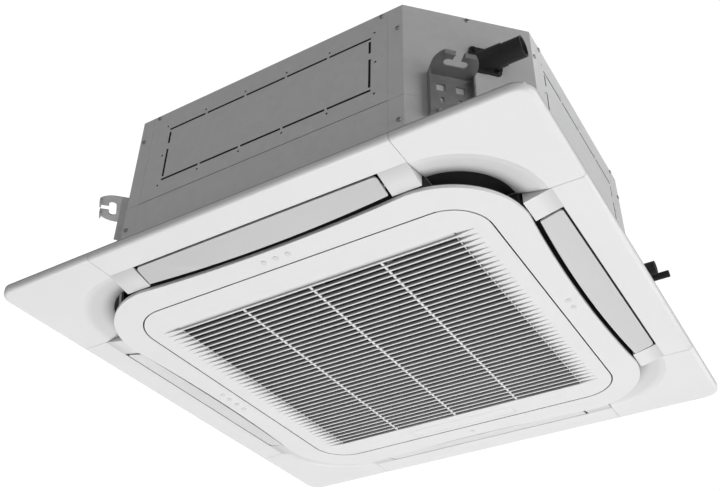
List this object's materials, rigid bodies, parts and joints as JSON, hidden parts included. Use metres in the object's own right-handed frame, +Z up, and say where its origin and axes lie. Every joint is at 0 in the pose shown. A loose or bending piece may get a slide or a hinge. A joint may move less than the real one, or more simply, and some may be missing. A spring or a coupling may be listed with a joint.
{
  "type": "ceiling cassette air conditioner",
  "caption": "Square ceiling cassette air conditioner: steel casing with hangers, white panel with swinging vanes, corner outlets and a hinged slatted intake grille with filter.",
  "frame": {"origin": "centre of the unit on the ceiling plane, which the edge of the panel rests against", "axes": "+Z up into the ceiling void, front is -Y, right is +X"},
  "size_m": [0.95, 0.95, 0.3548],
  "materials": {
    "white_panel": "satin white moulding",
    "vane_grey": "satin light grey moulding",
    "galvanised": "galvanised sheet steel",
    "bracket_steel": "galvanised bracket steel",
    "fastener_steel": "zinc plated steel",
    "black_plastic": "matte black moulding",
    "dark_plastic": "matte dark grey moulding",
    "white_plastic": "matte white moulding",
    "foam_white": "expanded foam",
    "foam_dark": "soft black foam",
    "fin_aluminium": "plain aluminium fins",
    "copper": "copper tube",
    "net_dark": "dark filter net",
    "rubber_black": "black rubber"
  },
  "bodies": {
    "chassis": {"panel_frame": "white_panel", "corner_cover_near": "white_panel", "corner_cover_pipe": "white_panel", "corner_cover_far": "white_panel", "corner_cover_left": "white_panel", "inner_frame": "white_panel", "outlet_duct": "black_plastic", "panel_gasket": "foam_dark", "panel_screws": "fastener_steel", "vane_motor_front": "white_plastic", "vane_motor_right": "white_plastic", "vane_motor_back": "white_plastic", "vane_motor_left": "white_plastic", "top_plate": "galvanised", "side_plate_front": "galvanised", "side_plate_right": "galvanised", "side_plate_back": "galvanised", "side_plate_left": "galvanised", "corner_plate_near": "galvanised", "corner_plate_pipe": "galvanised", "corner_plate_far": "galvanised", "corner_plate_left": "galvanised", "hanger_bracket_near": "bracket_steel", "hanger_bracket_pipe": "bracket_steel", "hanger_bracket_far": "bracket_steel", "hanger_bracket_left": "bracket_steel", "casing_screws": "fastener_steel", "bracket_bolts": "fastener_steel", "foam_liner": "foam_white", "coil_fins": "fin_aluminium", "coil_end_plates": "galvanised", "coil_tubes": "copper", "drain_pan": "dark_plastic", "bell_mouth": "black_plastic", "fan_motor": "galvanised", "motor_studs": "fastener_steel", "motor_dampers": "rubber_black", "control_box": "galvanised", "control_box_cover": "galvanised", "drain_pump": "white_plastic", "float_switch": "white_plastic", "drain_hose": "rubber_black", "drain_port": "black_plastic", "drain_port_screws": "fastener_steel", "gas_pipe": "copper", "liquid_pipe": "copper", "pipe_sleeves": "foam_dark"},
    "fan": {"fan_wheel": "black_plastic", "motor_shaft": "fastener_steel", "fan_nut": "fastener_steel"},
    "vane_front": {"vane_front": "vane_grey"},
    "vane_right": {"vane_right": "vane_grey"},
    "vane_back": {"vane_back": "vane_grey"},
    "vane_left": {"vane_left": "vane_grey"},
    "grille": {"grille": "white_panel", "filter_frame": "dark_plastic", "filter_net": "net_dark", "hinge_pins": "fastener_steel"},
    "latch": {"latch_bar": "white_panel"}
  },
  "joints": [
    {"name": "fan_spin", "type": "hinge", "parent": "chassis", "child": "fan", "pos_m": [0, 0, 0.2], "axis": [0, 0, 1], "continuous": true},
    {"name": "vane_front_swing", "type": "hinge", "parent": "chassis", "child": "vane_front", "pos_m": [0, -0.393, -0.011], "axis": [1, 0, 0], "range_deg": [0, 60]},
    {"name": "vane_right_swing", "type": "hinge", "parent": "chassis", "child": "vane_right", "pos_m": [0.393, 0, -0.011], "axis": [0, 1, 0], "range_deg": [0, 60]},
    {"name": "vane_back_swing", "type": "hinge", "parent": "chassis", "child": "vane_back", "pos_m": [0, 0.393, -0.011], "axis": [-1, 0, 0], "range_deg": [0, 60]},
    {"name": "vane_left_swing", "type": "hinge", "parent": "chassis", "child": "vane_left", "pos_m": [-0.393, 0, -0.011], "axis": [0, -1, 0], "range_deg": [0, 60]},
    {"name": "grille_hinge", "type": "hinge", "parent": "chassis", "child": "grille", "pos_m": [0, -0.3337, -0.023], "axis": [-1, 0, 0], "range_deg": [0, 85]},
    {"name": "latch_press", "type": "hinge", "parent": "grille", "child": "latch", "pos_m": [0, 0.29, -0.025], "axis": [1, 0, 0], "range_deg": [0, 8], "stiffness_Nm_per_rad": 0.6}
  ]
}
